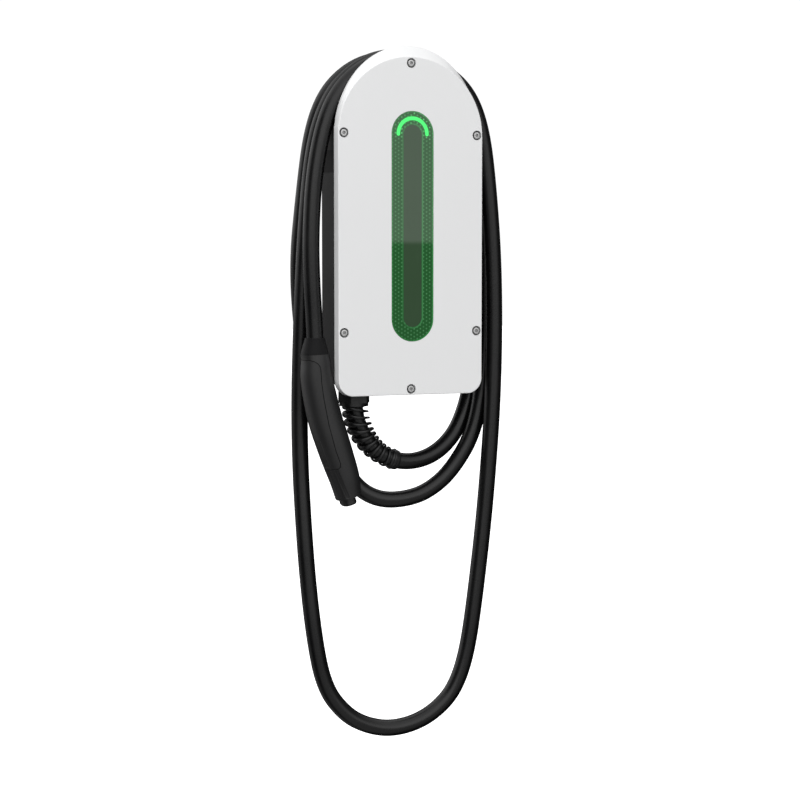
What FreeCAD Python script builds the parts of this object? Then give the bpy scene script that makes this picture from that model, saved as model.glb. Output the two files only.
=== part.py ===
import FreeCAD, Part
import math
import os
import Sketcher

# Wall-mounted charging box for electric cars, with its charging cable wound
# over the half-round top of the housing and the connector hanging at the left.
# Frame: X to the right, +Y to the wall, +Z up. The origin lies on the wall
# plane, at the level of the centre of the cover's half-round top.

V = FreeCAD.Vector
os.makedirs("parts", exist_ok=True)
doc = FreeCAD.newDocument("wallbox")

# --------------------------------------------------------------- dimensions
sheet = doc.addObject("Spreadsheet::Sheet", "dims")
DIM = [
    ("cover_half", 77.5), ("cover_bottom", 259.5), ("cover_front", 88.0),
    ("cover_rear", 75.5), ("cover_wall", 3.0), ("cover_corner", 15.5),
    ("hood_rise", 11.2), ("hood_line", 80.5), ("face_round", 0.8),
    ("window_radius", 22.5), ("window_shift", 1.4), ("window_top", 1.2),
    ("window_low", 183.2), ("window_gap", 0.15), ("lens_flange", 25.5),
    ("mask_radius", 9.6), ("guide_outer", 17.4), ("guide_inner", 13.3),
    ("screw_side", 71.5), ("screw_top", 71.0), ("screw_upper", 1.0),
    ("screw_lower", 196.0), ("screw_bottom", 253.5), ("head_radius", 3.35),
    ("head_height", 2.1), ("sink_radius", 4.9), ("sink_depth", 3.0),
    ("washer_radius", 4.75), ("washer_thick", 0.8),
    ("shank_radius", 2.0), ("insert_radius", 3.0), ("insert_length", 4.2),
    ("post_radius", 5.6), ("housing_half", 64.0), ("saddle_radius", 69.4),
    ("housing_bottom", 252.0), ("housing_front", 83.0), ("housing_rear", 0.5),
    ("housing_wall", 3.0), ("floor_front", 9.0), ("floor_back", 6.0),
    ("flange_front", 80.0), ("flange_rear", 75.6), ("seal_thick", 2.0),
    ("bracket_half", 50.0), ("bracket_top", 30.0), ("bracket_low", 230.0),
    ("bracket_thick", 2.5), ("wall_hole", 3.25), ("wall_hole_x", 38.0),
    ("wall_hole_top", 10.0), ("wall_hole_low", 190.0),
    ("entry_x", 24.0), ("entry_drop", 222.0), ("entry_radius", 7.0),
    ("gland_x", 44.8), ("gland_y", 43.0), ("gland_thread", 12.4), ("gland_neck", 11.4),
    ("lip_inset", 4.6), ("lip_width", 2.4),
    ("nut_corner", 17.0), ("collar_radius", 14.8),
    ("cable_radius", 8.5), ("guard_radius", 13.4), ("guard_end", 10.8),
    ("board_thick", 1.6), ("board_level", 24.0), ("board_half", 53.0),
    ("board_top", 30.0), ("board_drop", 150.0), ("standoff_radius", 3.0),
    ("standoff_x", 46.0), ("connector_y", 67.0), ("shell_wall", 2.6),
    ("grip_depth", 1.7), ("contact_radius", 1.3),
]
P = {}
for row, (alias, value) in enumerate(DIM, start=1):
    sheet.set("A%d" % row, alias)
    sheet.set("B%d" % row, repr(float(value)))
    sheet.setAlias("B%d" % row, alias)
    P[alias] = float(value)
doc.recompute()

NODES = {}
COUNT = [0]


def bind(obj, prop, val):
    if isinstance(val, str):
        obj.setExpression(prop, val)
    else:
        setattr(obj, prop, float(val))


def tmp(kind):
    COUNT[0] += 1
    return "%s_%03d" % (kind, COUNT[0])


def turned(pos, direction):
    return FreeCAD.Placement(V(*pos), FreeCAD.Rotation(V(0, 0, 1), V(*direction)))


def box(pos, sx, sy, sz):
    o = doc.addObject("Part::Box", tmp("block"))
    bind(o, "Length", sx)
    bind(o, "Width", sy)
    bind(o, "Height", sz)
    o.Placement = FreeCAD.Placement(V(*pos), FreeCAD.Rotation())
    return o


def cyl(pos, direction, radius, height):
    o = doc.addObject("Part::Cylinder", tmp("round"))
    bind(o, "Radius", radius)
    bind(o, "Height", height)
    o.Placement = turned(pos, direction)
    return o


def cone(pos, direction, r1, r2, height):
    o = doc.addObject("Part::Cone", tmp("taper"))
    bind(o, "Radius1", r1)
    bind(o, "Radius2", r2)
    bind(o, "Height", height)
    o.Placement = turned(pos, direction)
    return o


def prism6(pos, direction, radius, height):
    o = doc.addObject("Part::Prism", tmp("hexagon"))
    o.Polygon = 6
    bind(o, "Circumradius", radius)
    bind(o, "Height", height)
    o.Placement = turned(pos, direction)
    return o


def fuse(objs):
    if len(objs) == 1:
        return objs[0]
    o = doc.addObject("Part::MultiFuse", tmp("joined"))
    o.Shapes = list(objs)
    return o


def cut(base, tools):
    o = doc.addObject("Part::Cut", tmp("trimmed"))
    o.Base = base
    o.Tool = fuse(list(tools))
    return o


def common(a, b):
    o = doc.addObject("Part::Common", tmp("shared"))
    o.Base = a
    o.Tool = b
    return o


def group(objs):
    o = doc.addObject("Part::Compound", tmp("set"))
    o.Links = list(objs)
    return o


def feature(shape, kind="shape"):
    o = doc.addObject("Part::Feature", tmp(kind))
    o.Shape = shape
    return o


def node(name, obj):
    obj.Label = name
    NODES[name] = obj
    return obj


# ------------------------------------------------------------ sketched bodies
def new_body(name):
    return doc.addObject("PartDesign::Body", name)


def plane(body, role):
    for f in body.Origin.OriginFeatures:
        if f.Role == role:
            return f
    raise RuntimeError("no plane " + role)


def sketch(body, role):
    sk = body.newObject("Sketcher::SketchObject", tmp("sketch"))
    sk.AttachmentSupport = [(plane(body, role), "")]
    sk.MapMode = "FlatFace"
    return sk


def rect(sk, x0, y0, x1, y1, names=None):
    """Rectangle with corner distances; names binds width and height."""
    n = sk.GeometryCount
    pts = [V(x0, y0, 0), V(x1, y0, 0), V(x1, y1, 0), V(x0, y1, 0)]
    for i in range(4):
        sk.addGeometry(Part.LineSegment(pts[i], pts[(i + 1) % 4]), False)
    for i in range(4):
        sk.addConstraint(Sketcher.Constraint("Coincident", n + i, 2, n + (i + 1) % 4, 1))
    sk.addConstraint(Sketcher.Constraint("Horizontal", n))
    sk.addConstraint(Sketcher.Constraint("Horizontal", n + 2))
    sk.addConstraint(Sketcher.Constraint("Vertical", n + 1))
    sk.addConstraint(Sketcher.Constraint("Vertical", n + 3))
    cw = sk.addConstraint(Sketcher.Constraint("DistanceX", n, 1, n, 2, x1 - x0))
    ch = sk.addConstraint(Sketcher.Constraint("DistanceY", n + 1, 1, n + 1, 2, y1 - y0))
    if names:
        sk.setExpression("Constraints[%d]" % cw, names[0])
        sk.setExpression("Constraints[%d]" % ch, names[1])
    return n


def hole_circle(sk, x, y, r, name=None):
    n = sk.addGeometry(Part.Circle(V(x, y, 0), V(0, 0, 1), r), False)
    c = sk.addConstraint(Sketcher.Constraint("Radius", n, r))
    if name:
        sk.setExpression("Constraints[%d]" % c, name)
    return n


def slot(sk, x, ytop, ylow, r, name=None):
    """Upright slot with half-round ends."""
    n = sk.GeometryCount
    sk.addGeometry(Part.ArcOfCircle(Part.Circle(V(x, ytop, 0), V(0, 0, 1), r), 0, math.pi), False)
    sk.addGeometry(Part.LineSegment(V(x - r, ytop, 0), V(x - r, ylow, 0)), False)
    sk.addGeometry(Part.ArcOfCircle(Part.Circle(V(x, ylow, 0), V(0, 0, 1), r), math.pi, 2 * math.pi), False)
    sk.addGeometry(Part.LineSegment(V(x + r, ylow, 0), V(x + r, ytop, 0)), False)
    sk.addConstraint(Sketcher.Constraint("Tangent", n, 2, n + 1, 1))
    sk.addConstraint(Sketcher.Constraint("Tangent", n + 1, 2, n + 2, 1))
    sk.addConstraint(Sketcher.Constraint("Tangent", n + 2, 2, n + 3, 1))
    sk.addConstraint(Sketcher.Constraint("Tangent", n + 3, 2, n, 1))
    sk.addConstraint(Sketcher.Constraint("Vertical", n + 1))
    c = sk.addConstraint(Sketcher.Constraint("Radius", n, r))
    if name:
        sk.setExpression("Constraints[%d]" % c, name)
    return n


def pad(body, sk, length):
    p = body.newObject("PartDesign::Pad", tmp("pad"))
    p.Profile = sk
    bind(p, "Length", length)
    sk.Visibility = False
    return p


def front_plate(name, y_rear, thick, draw):
    """Body drawn in the XZ plane and padded to the front from y_rear."""
    b = new_body(name)
    s = sketch(b, "XZ_Plane")
    draw(s)
    pad(b, s, thick)
    b.Placement = FreeCAD.Placement(V(0, y_rear, 0), FreeCAD.Rotation())
    return b


def turned_body(name, profile, pos, direction):
    """Body of revolution: profile is (radius, height) points, axis = direction."""
    b = new_body(name)
    s = sketch(b, "XZ_Plane")
    pts = [V(r, h, 0) for r, h in profile]
    k = len(pts)
    for i in range(k):
        s.addGeometry(Part.LineSegment(pts[i], pts[(i + 1) % k]), False)
    for i in range(k):
        s.addConstraint(Sketcher.Constraint("Coincident", i, 2, (i + 1) % k, 1))
    r = b.newObject("PartDesign::Revolution", tmp("turning"))
    r.Profile = s
    r.ReferenceAxis = (s, ["V_Axis"])
    r.Angle = 360.0
    b.Placement = turned(pos, direction)
    return b


# --------------------------------------------------------------- wire helpers
def arch_edge(y, w, rise, power=2.6, count=32):
    pts, par = [], []
    for i in range(count + 1):
        t = math.pi * i / count
        r = w + rise * (math.sin(t) ** power if 0 < i < count else 0.0)
        pts.append(V(r * math.cos(t), y, r * math.sin(t)))
        par.append(float(i) / count)
    c = Part.BSplineCurve()
    c.interpolate(Points=pts, Parameters=par, InitialTangent=V(0, 0, 1), FinalTangent=V(0, 0, -1))
    return c.toShape()


def line(a, b):
    return Part.LineSegment(a, b).toShape()


def arc3(a, m, b):
    return Part.Arc(a, m, b).toShape()


def cover_wire(y, inset, rise):
    """Outline of the cover: half-round top with a rising hood, round bottom corners."""
    w = P["cover_half"] - inset
    zb = -(P["cover_bottom"] - inset)
    r = max(P["cover_corner"] - inset, 2.0)
    q = r * (1 - math.sqrt(0.5))
    e = [arch_edge(y, w, rise),
         line(V(-w, y, 0), V(-w, y, zb + r)),
         arc3(V(-w, y, zb + r), V(-w + q, y, zb + q), V(-w + r, y, zb)),
         line(V(-w + r, y, zb), V(w - r, y, zb)),
         arc3(V(w - r, y, zb), V(w - q, y, zb + q), V(w, y, zb + r)),
         line(V(w, y, zb + r), V(w, y, 0))]
    return Part.Wire(e)


def ruled(wires):
    s = Part.makeLoft(wires, True, True)
    if s.ShapeType != "Solid":
        s = s.Solids[0]
    return s


def housing_wire(y, inset):
    """Outline of the rear housing: saddle-shaped round top on a narrower body."""
    h = P["housing_half"] - inset
    R = P["saddle_radius"] - inset
    zb = -(P["housing_bottom"] - inset)
    r = max(8.0 - inset, 2.0)
    q = r * (1 - math.sqrt(0.5))
    k = inset * 0.55
    e = [arc3(V(R, y, 0), V(0, y, R), V(-R, y, 0)),
         line(V(-R, y, 0), V(-R, y, -14 + k)),
         line(V(-R, y, -14 + k), V(-h, y, -36 + k)),
         line(V(-h, y, -36 + k), V(-h, y, zb + r)),
         arc3(V(-h, y, zb + r), V(-h + q, y, zb + q), V(-h + r, y, zb)),
         line(V(-h + r, y, zb), V(h - r, y, zb)),
         arc3(V(h - r, y, zb), V(h - q, y, zb + q), V(h, y, zb + r)),
         line(V(h, y, zb + r), V(h, y, -36 + k)),
         line(V(h, y, -36 + k), V(R, y, -14 + k)),
         line(V(R, y, -14 + k), V(R, y, 0))]
    return Part.Wire(e)


def prism(wire, dy):
    return Part.Face(wire).extrude(V(0, dy, 0))


def oval(cx, cy, cz, angle, a, b, power=2.35, count=28):
    """Closed rounded section across a slanted axis in the XZ plane."""
    t = math.radians(angle)
    e1 = V(math.cos(t), 0, math.sin(t))
    pts = []
    for i in range(count):
        f = 2 * math.pi * i / count
        c, s = math.cos(f), math.sin(f)
        u = a * math.copysign(abs(c) ** (2.0 / power), c)
        v = b * math.copysign(abs(s) ** (2.0 / power), s)
        pts.append(V(cx, cy, cz) + e1 * u + V(0, v, 0))
    c = Part.BSplineCurve()
    c.interpolate(Points=pts, PeriodicFlag=True)
    return Part.Wire([c.toShape()])


def skin(wires):
    s = Part.makeLoft(wires, True, False)
    if s.ShapeType != "Solid":
        s = s.Solids[0]
    return s


# ------------------------------------------------------------- cable path
# Points of the cable's route, from the gland to the connector boot: under the
# box to the right, up, over the top in the rear layer, down, under the box
# again, up, over in the middle layer, down into the long loop, up, over in the
# front layer and down to the connector.
ROUTE = [
    (-44.8, -43, -254), (-44.8, -43, -270), (-41.8, -43, -288.8), (-32.3, -43.1, -308),
    (-14.8, -43.2, -324.3), (8.8, -43.1, -332.6), (33.4, -41.3, -330.3),
    (55.4, -38.5, -319.6), (74.6, -35.2, -299.4), (89.3, -32.2, -262.1),
    (98.6, -31, -202), (97.4, -31.4, -111.4), (90.7, -31.4, -32), (82.8, -31.4, 19.5),
    (62.4, -31.4, 51.9), (38.3, -31.4, 71.1), (9.6, -31.4, 79.7), (-21.3, -31.4, 77.7),
    (-47.6, -31.4, 65.3), (-70.5, -31.4, 42.2), (-85, -31.2, 5.8), (-92.9, -30.8, -50.5),
    (-101.6, -29.6, -137.1), (-89.2, -23.4, -234.8), (-67.2, -20.7, -296.5),
    (-50.2, -25.1, -337.6), (-34, -30.5, -360.7), (-13.4, -35.6, -371.3),
    (11, -40.1, -371.5), (35.7, -43.6, -364.4), (61.5, -46.9, -343.9),
    (88.1, -49.4, -300.9), (99.6, -49, -228.5), (99.1, -49, -122.3), (94.3, -49, -35.4),
    (80.9, -49, 21), (60.9, -49, 53.4), (36.4, -49, 71.6), (5.4, -49, 80.5),
    (-21.7, -49, 78.2), (-47.3, -49, 65.5), (-71.3, -49, 40.4), (-88.5, -49, -3.7),
    (-97.1, -49.6, -74.5), (-102.2, -46.2, -180.4), (-103.3, -39.8, -298.8),
    (-99.8, -47.7, -417.3), (-92.4, -52.1, -503.1), (-81.6, -53.4, -558.6),
    (-59.8, -55.5, -587.6), (-37, -57, -600.9), (-10.7, -58.5, -606.6),
    (17.4, -60, -601.9), (40.5, -61.4, -589.3), (59.2, -62.9, -569.3),
    (71.9, -64.9, -532.9), (80.9, -66.2, -471), (92.2, -66.5, -375), (101, -66.5, -256.4),
    (101.2, -66.5, -138.8), (94.2, -66.5, -48.6), (86.1, -66.5, 9.6), (70.6, -66.5, 45.6),
    (43.4, -66.5, 66.7), (21.8, -66.5, 77.8), (-8.8, -66.5, 79.4), (-40.9, -66.5, 68.8),
    (-65.2, -66.5, 49.3), (-83.5, -66.5, 16.9), (-95.4, -66.5, -38.2),
    (-99, -66.5, -98.7), (-98.3, -66.5, -141), (-96, -66.5, -179), (-94.9, -66.8, -204.5)]


def tangent_path(points):
    """Straight runs joined by tangent arcs; returns edges and the arcs' radii."""
    pts = [V(*p) for p in points]
    edges, radii = [], []
    at = pts[0]
    for i in range(1, len(pts) - 1):
        a = pts[i] - pts[i - 1]
        b = pts[i + 1] - pts[i]
        short = min(a.Length, b.Length)
        a.normalize()
        b.normalize()
        turn = a.getAngle(b)
        t = 0.45 * short
        radius = t / math.tan(turn / 2)
        p0 = pts[i] - a * t
        p1 = pts[i] + b * t
        inward = b - a
        inward.normalize()
        mid = pts[i] + inward * (radius / math.cos(turn / 2) - radius)
        edges.append(line(at, p0))
        edges.append(arc3(p0, mid, p1))
        radii.append(radius)
        at = p1
    edges.append(line(at, pts[-1]))
    return edges, radii


def pipe(edges, radius):
    """Round bar swept along tangent edges."""
    wire = Part.Wire(edges)
    start = edges[0].valueAt(edges[0].FirstParameter)
    along = edges[0].tangentAt(edges[0].FirstParameter)
    ring = Part.Wire([Part.Circle(start, along, radius).toShape()])
    s = wire.makePipeShell([ring], True, False)
    if s.ShapeType != "Solid":
        s = s.Solids[0]
    return s


# =================================================================== the cover
yF, yR, yH = -P["cover_front"], -P["cover_rear"], -P["hood_line"]
fr = P["face_round"]
outer = ruled([cover_wire(yF, fr, 0.0),
               cover_wire(yF + 0.25 * fr, 0.28 * fr, 0.0),
               cover_wire(yF + fr, 0.0, 0.0),
               cover_wire(yH, 0.0, P["hood_rise"]),
               cover_wire(yR, 0.0, P["hood_rise"])])
cw = P["cover_wall"]
plate_y = yF + cw
rise_at_plate = P["hood_rise"] * (cw - fr) / (yH - yF - fr)
inner = ruled([cover_wire(plate_y, cw, rise_at_plate),
               cover_wire(yH, cw, P["hood_rise"]),
               cover_wire(yR + 1.0, cw, P["hood_rise"])])
outer_f = feature(outer, "cover_outer")
inner_f = feature(inner, "cover_inner")
shell_f = cut(outer_f, [inner_f])
sx, st, su, sl, sb = (P["screw_side"], P["screw_top"], P["screw_upper"],
                      P["screw_lower"], P["screw_bottom"])
SCREWS = [(-sx, su), (sx, su), (-sx, -sl), (sx, -sl), (0.0, st), (0.0, -sb)]
posts = [cyl((x, plate_y - 0.5, z), (0, 1, 0), "dims.post_radius", 5.5) for x, z in SCREWS]
wx, wt, wl = P["window_shift"], P["window_top"], -P["window_low"]
BPOSTS = [(wx + a * 29.0, z) for a in (-1, 1) for z in (-22.0, -160.0)]
posts += [cyl((x, plate_y - 0.5, z), (0, 1, 0), 3.2, 4.9) for x, z in BPOSTS]
solid_f = fuse([shell_f, common(fuse(posts), outer_f)])
bores = []
for x, z in SCREWS:
    bores.append(cyl((x, yF - 2, z), (0, 1, 0), 2.4, 20))
    bores.append(cyl((x, yF - 2, z), (0, 1, 0), "dims.sink_radius", P["sink_depth"] + 2))
for x, z in BPOSTS:
    bores.append(cyl((x, plate_y + 0.2, z), (0, 1, 0), 1.25, 8))


def slot_prism(x, ztop, zlow, r, y0, y1):
    w = Part.Wire([arc3(V(x + r, y0, ztop), V(x, y0, ztop + r), V(x - r, y0, ztop)),
                   line(V(x - r, y0, ztop), V(x - r, y0, zlow)),
                   arc3(V(x - r, y0, zlow), V(x, y0, zlow - r), V(x + r, y0, zlow)),
                   line(V(x + r, y0, zlow), V(x + r, y0, ztop))])
    return prism(w, y1 - y0)


window_hole = feature(slot_prism(wx, wt, wl, P["window_radius"] + P["window_gap"], yF - 3, plate_y + 3), "window_hole")
cover = node("front_cover", cut(solid_f, bores + [window_hole]))


def seal_ring(y0, y1):
    a = prism(housing_wire(y0, P["lip_inset"]), y1 - y0)
    b = prism(housing_wire(y0, P["lip_inset"] + P["lip_width"]), y1 - y0)
    return a.cut(b)


node("cover_seal", feature(seal_ring(plate_y, plate_y + P["seal_thick"])))

# ------------------------------------------------------------- cover screws
screws, inserts, washers = [], [], []
for x, z in SCREWS:
    y0 = yF + P["sink_depth"] - P["washer_thick"] - P["head_height"]
    head = cyl((x, y0, z), (0, 1, 0), "dims.head_radius", "dims.head_height")
    shank = cyl((x, y0 + 1, z), (0, 1, 0), "dims.shank_radius", 9.7)
    socket = prism6((x, y0 - 1, z), (0, 1, 0), 1.7, 2.5)
    washers.append(cut(cyl((x, yF + P["sink_depth"] - P["washer_thick"], z), (0, 1, 0), "dims.washer_radius", "dims.washer_thick"),
                       [cyl((x, yF, z), (0, 1, 0), "dims.shank_radius", 6.0)]))
    screws.append(cut(fuse([head, shank]), [socket]))
    ring = cyl((x, -P["flange_front"], z), (0, 1, 0), "dims.insert_radius", "dims.insert_length")
    core = cyl((x, -P["flange_front"] - 1, z), (0, 1, 0), "dims.shank_radius", 8)
    inserts.append(cut(ring, [core]))
node("cover_screws", group(screws))
node("screw_washers", group(washers))
node("threaded_inserts", group(inserts))

# =============================================================== the window
ym = plate_y


def lens_draw(s):
    slot(s, wx, wt, wl, P["window_radius"], "dims.window_radius")


lens_front = front_plate("lens_front", ym, P["cover_wall"], lens_draw)


def lens_flange_draw(s):
    slot(s, wx, wt, wl, P["lens_flange"], "dims.lens_flange")


lens_back = front_plate("lens_back", ym + 1.8, 1.8, lens_flange_draw)


def half_ring(y0, y1, grow):
    """Half-ring with round ends, in the front view."""
    ro, ri = P["guide_outer"] + grow, P["guide_inner"] - grow
    m, h = (ro + ri) / 2, (ro - ri) / 2
    zc = wt
    w = Part.Wire([arc3(V(wx + ro, y0, zc), V(wx, y0, zc + ro), V(wx - ro, y0, zc)),
                   arc3(V(wx - ro, y0, zc), V(wx - m, y0, zc - h), V(wx - ri, y0, zc)),
                   arc3(V(wx - ri, y0, zc), V(wx, y0, zc + ri), V(wx + ri, y0, zc)),
                   arc3(V(wx + ri, y0, zc), V(wx + m, y0, zc - h), V(wx + ro, y0, zc))])
    return prism(w, y1 - y0)


guide_slot = feature(half_ring(yF - 1, ym + 3, 0.0), "guide_slot")
node("indicator_window", cut(fuse([lens_front, lens_back]), [guide_slot]))
node("light_guide", feature(half_ring(yF, ym + 3.6, 0.0)))
y_dif = ym + 1.8
ring_s = slot_prism(wx, wt, wl, 24.5, y_dif, y_dif + 1.0)
hole_s = slot_prism(wx, wt, wl, P["mask_radius"], y_dif - 1, y_dif + 2)
gap_s = half_ring(y_dif - 1, y_dif + 2, 0.1)
node("window_diffuser", feature(ring_s.cut(hole_s).cut(gap_s)))
node("window_mask", feature(slot_prism(wx, wt, wl, P["mask_radius"] - 0.1, y_dif, y_dif + 1.0)))

y_led = plate_y + 4.4
lb = []


def led_draw(s):
    rect(s, wx - 33.0, -206.0, wx + 33.0, 23.0)
    for x, z in BPOSTS:
        hole_circle(s, x, z, 1.6)


node("indicator_board", front_plate("indicator_board", y_led + P["board_thick"], "dims.board_thick", led_draw))
lamps = []
for i in range(9):
    t = math.radians(4 + 172.0 * i / 8)
    m = (P["guide_outer"] + P["guide_inner"]) / 2
    lamps.append(box((wx + m * math.cos(t) - 1.4, y_led - 0.7, wt + m * math.sin(t) - 1.4), 2.8, 0.7, 2.8))
for i in range(8):
    for a in (-1, 1):
        lamps.append(box((wx + a * 16.0 - 1.4, y_led - 0.7, -18.0 - 21.5 * i), 2.8, 0.7, 2.8))
node("indicator_lamps", group(lamps))
bs = []
for x, z in BPOSTS:
    y1 = y_led + P["board_thick"]
    bs.append(fuse([cyl((x, y1, z), (0, 1, 0), 2.7, 1.6), cyl((x, y_led - 3.5, z), (0, 1, 0), 1.25, 3.6 + P["board_thick"])]))
node("indicator_board_screws", group(bs))

# ============================================================= rear housing
hw = P["housing_wall"]
body_o = prism(housing_wire(-P["flange_front"] + 1.0, 0.0), P["flange_front"] - 1.0 - P["housing_rear"] - 1.0)
rim_o = ruled([housing_wire(-P["housing_rear"] - 1.0, 0.0), housing_wire(-P["housing_rear"], 1.0)])
body_i = prism(housing_wire(-P["housing_front"] - 1, hw), P["housing_front"] + 1 - P["floor_front"])
recess = prism(housing_wire(-P["floor_back"], hw + 1.0), P["floor_back"] + 2)
flange_o = prism(cover_wire(-P["flange_front"], 3.6, 0.0), P["flange_front"] - P["flange_rear"])
lip_in = P["lip_inset"] + P["lip_width"]
flange_i = prism(housing_wire(-P["flange_front"] - 1, lip_in), P["flange_front"] - P["flange_rear"] + 2)
flange = flange_o.cut(flange_i)
lip = seal_ring(-P["housing_front"], -P["flange_front"] + 1.0)
body = body_o.fuse(rim_o).cut(body_i).cut(recess).fuse(flange).fuse(lip)
bosses = []
gx, gy = -P["gland_x"], -P["gland_y"]
housing_f = feature(body.removeSplitter(), "housing_body")
STAND = [(-P["standoff_x"], 14.0), (P["standoff_x"], 14.0), (-P["standoff_x"], -136.0), (P["standoff_x"], -136.0)]
adds = [cyl((x, -P["floor_front"] - 6, z), (0, 1, 0), 5.0, 6.5) for x, z in STAND]
BSCR = [(-30.0, -236.0), (30.0, -236.0)]
holes = [cyl((x, -P["flange_front"] - 1, z), (0, 1, 0), "dims.insert_radius", 8.0) for x, z in SCREWS]
holes += [cyl((gx, gy, -P["housing_bottom"] - 1), (0, 0, 1), "dims.gland_neck", hw + 2)]
holes += [cyl((gx, gy, -P["housing_bottom"] + hw), (0, 0, 1), 15.3, 6.0)]
holes += [cyl((26.0, -40.0, -P["housing_bottom"] - 1), (0, 0, 1), 6.1, hw + 2)]
holes += [cyl((P["entry_x"], -P["floor_front"] - 2, -P["entry_drop"]), (0, 1, 0), 11.0, 8)]
holes += [cyl((x, -P["floor_front"] - 2, z), (0, 1, 0), 2.3, 8) for x, z in ((-30.0, -205.0), (-10.0, -239.0))]
holes += [cyl((x, -P["floor_front"] - 8, z), (0, 1, 0), 1.6, 6.2) for x, z in STAND]
holes += [box((a - 11, -P["floor_front"] - 1, -20.0), 22, 6, 11.5) for a in (-30.0, 30.0)]
node("rear_housing", cut(fuse([housing_f] + adds), holes))

# ------------------------------------------------------------- wall bracket
BR = [(-30.0, -205.0), (-10.0, -239.0)]


def bracket_draw(s):
    n = rect(s, -P["bracket_half"], -P["bracket_low"] - 16, P["bracket_half"], P["bracket_top"],
             ("2 * dims.bracket_half", "dims.bracket_low + dims.bracket_top + 16"))
    for x in (-P["wall_hole_x"], P["wall_hole_x"]):
        for z in (P["wall_hole_top"], -P["wall_hole_low"]):
            hole_circle(s, x, z, P["wall_hole"], "dims.wall_hole")
    hole_circle(s, P["entry_x"], -P["entry_drop"], 15.0)


plate = front_plate("bracket_plate", 0.0, "dims.bracket_thick", bracket_draw)
parts_b = [plate]
bt = P["bracket_thick"]
for a in (-30.0, 30.0):
    parts_b.append(box((a - 9, -12.5, -11.0), 18, 12.5 - bt, 2.5))
    parts_b.append(box((a - 9, -12.5, -11.0), 18, 2.0, 10.5))
for x, z in BR:
    parts_b.append(cyl((x, -P["floor_back"], z), (0, 1, 0), 5.0, P["floor_back"] - bt + 0.2))
bh = [cyl((x, -P["floor_back"] - 1, z), (0, 1, 0), 1.7, 10) for x, z in BR]
node("wall_bracket", cut(fuse(parts_b), bh))
br_s = []
for x, z in BR:
    br_s.append(fuse([cyl((x, -P["floor_front"] - 2.6, z), (0, 1, 0), 3.8, 2.6),
                      cyl((x, -P["floor_front"] - 0.5, z), (0, 1, 0), 1.7, 8.5)]))
node("bracket_screws", group(br_s))

# --------------------------------------------------- supply entry and vent
er = P["entry_radius"]
fw = P["floor_front"] - P["floor_back"]
node("supply_grommet", turned_body("supply_grommet",
     [(er, 0), (14.0, 0), (14.0, 2.0), (11.0, 2.0), (11.0, 2.0 + fw), (13.5, 2.0 + fw), (12.0, 6.5 + fw), (er, 6.5 + fw)],
     (P["entry_x"], -P["floor_back"] + 2.0, -P["entry_drop"]), (0, -1, 0)))
node("pressure_vent", turned_body("pressure_vent",
     [(0, 0), (8.5, 0), (8.5, 3.5), (6.0, 3.5), (6.0, 10.0), (0, 10.0)],
     (26.0, -40.0, -P["housing_bottom"] - 3.5), (0, 0, 1)))

# =========================================================== main electronics
yb = -P["board_level"]
so = []
for x, z in STAND:
    so.append(cut(cyl((x, yb, z), (0, 1, 0), "dims.standoff_radius", P["board_level"] - P["floor_front"] - 6.0),
                  [cyl((x, yb - 1, z), (0, 1, 0), 1.5, 30)]))
node("board_standoffs", group(so))


def board_draw(s):
    rect(s, -P["board_half"], -P["board_drop"], P["board_half"], P["board_top"],
         ("2 * dims.board_half", "dims.board_drop + dims.board_top"))
    for x, z in STAND:
        hole_circle(s, x, z, 1.6)


node("main_board", front_plate("main_board", yb, "dims.board_thick", board_draw))
yt = yb - P["board_thick"]
ms = []
for x, z in STAND:
    ms.append(fuse([cyl((x, yt - 2.0, z), (0, 1, 0), 2.9, 2.0), cyl((x, yt - 0.5, z), (0, 1, 0), 1.5, 9.0)]))
node("board_screws", group(ms))
rel = []
for i in range(4):
    b0 = box((-50.0 + 21.5 * i, yt - 24, -96.0), 19.0, 24, 28.0)
    rel.append(fuse([b0, box((-49.0 + 21.5 * i, yt - 25.0, -94.5), 17.0, 25.0, 25.0)]))
node("power_relays", group(rel))
rs = cut(cyl((-26.0, yt - 13, -122.0), (0, 1, 0), 17.5, 13), [cyl((-26.0, yt - 14, -122.0), (0, 1, 0), 8.5, 15)])
node("residual_current_sensor", rs)
ps = fuse([box((6.0, yt - 22, -142.0), 34.0, 22, 30.0), box((10.0, yt - 26, -138.5), 26.0, 26, 23.0)])
node("power_supply", ps)
caps = [fuse([cyl((x, yt - 20, z), (0, 1, 0), 6.5, 20), cyl((x, yt - 3, z), (0, 1, 0), 6.9, 2)])
        for x, z in ((-38.0, -52.0), (-22.0, -52.0), (-38.0, -36.0))]
node("capacitors", group(caps))
cm = fuse([box((-4.0, yt - 1.2, -22.0), 34.0, 1.2, 40.0), box((-2.0, yt - 4.0, -20.0), 30.0, 4.0, 27.0)])
node("processor_module", cm)
sk_ = []
for x, z, w in ((-28.0, 6.0, 22.0), (-28.0, -8.0, 16.0), (22.0, -50.0, 26.0)):
    sk_.append(cut(box((x - w / 2, yt - 9, z - 4), w, 9, 8), [box((x - w / 2 + 1, yt - 10, z - 3), w - 2, 7, 6)]))
node("board_sockets", group(sk_))


def terminals(x0, count, pitch, z0):
    b0 = box((x0, -P["floor_front"] - 30, z0), pitch * count + 2, 30, 24)
    h = []
    for i in range(count):
        xc = x0 + 1 + pitch * (i + 0.5)
        h.append(cyl((xc, -P["floor_front"] - 13, z0 - 1), (0, 0, 1), 2.6, 14))
        h.append(cyl((xc, -P["floor_front"] - 31, z0 + 13), (0, 1, 0), 3.0, 15))
    return cut(b0, h)


node("output_terminal_block", terminals(-58.0, 5, 10.4, -190.0))
node("supply_terminal_block", terminals(2.0, 5, 10.4, -190.0))


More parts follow.
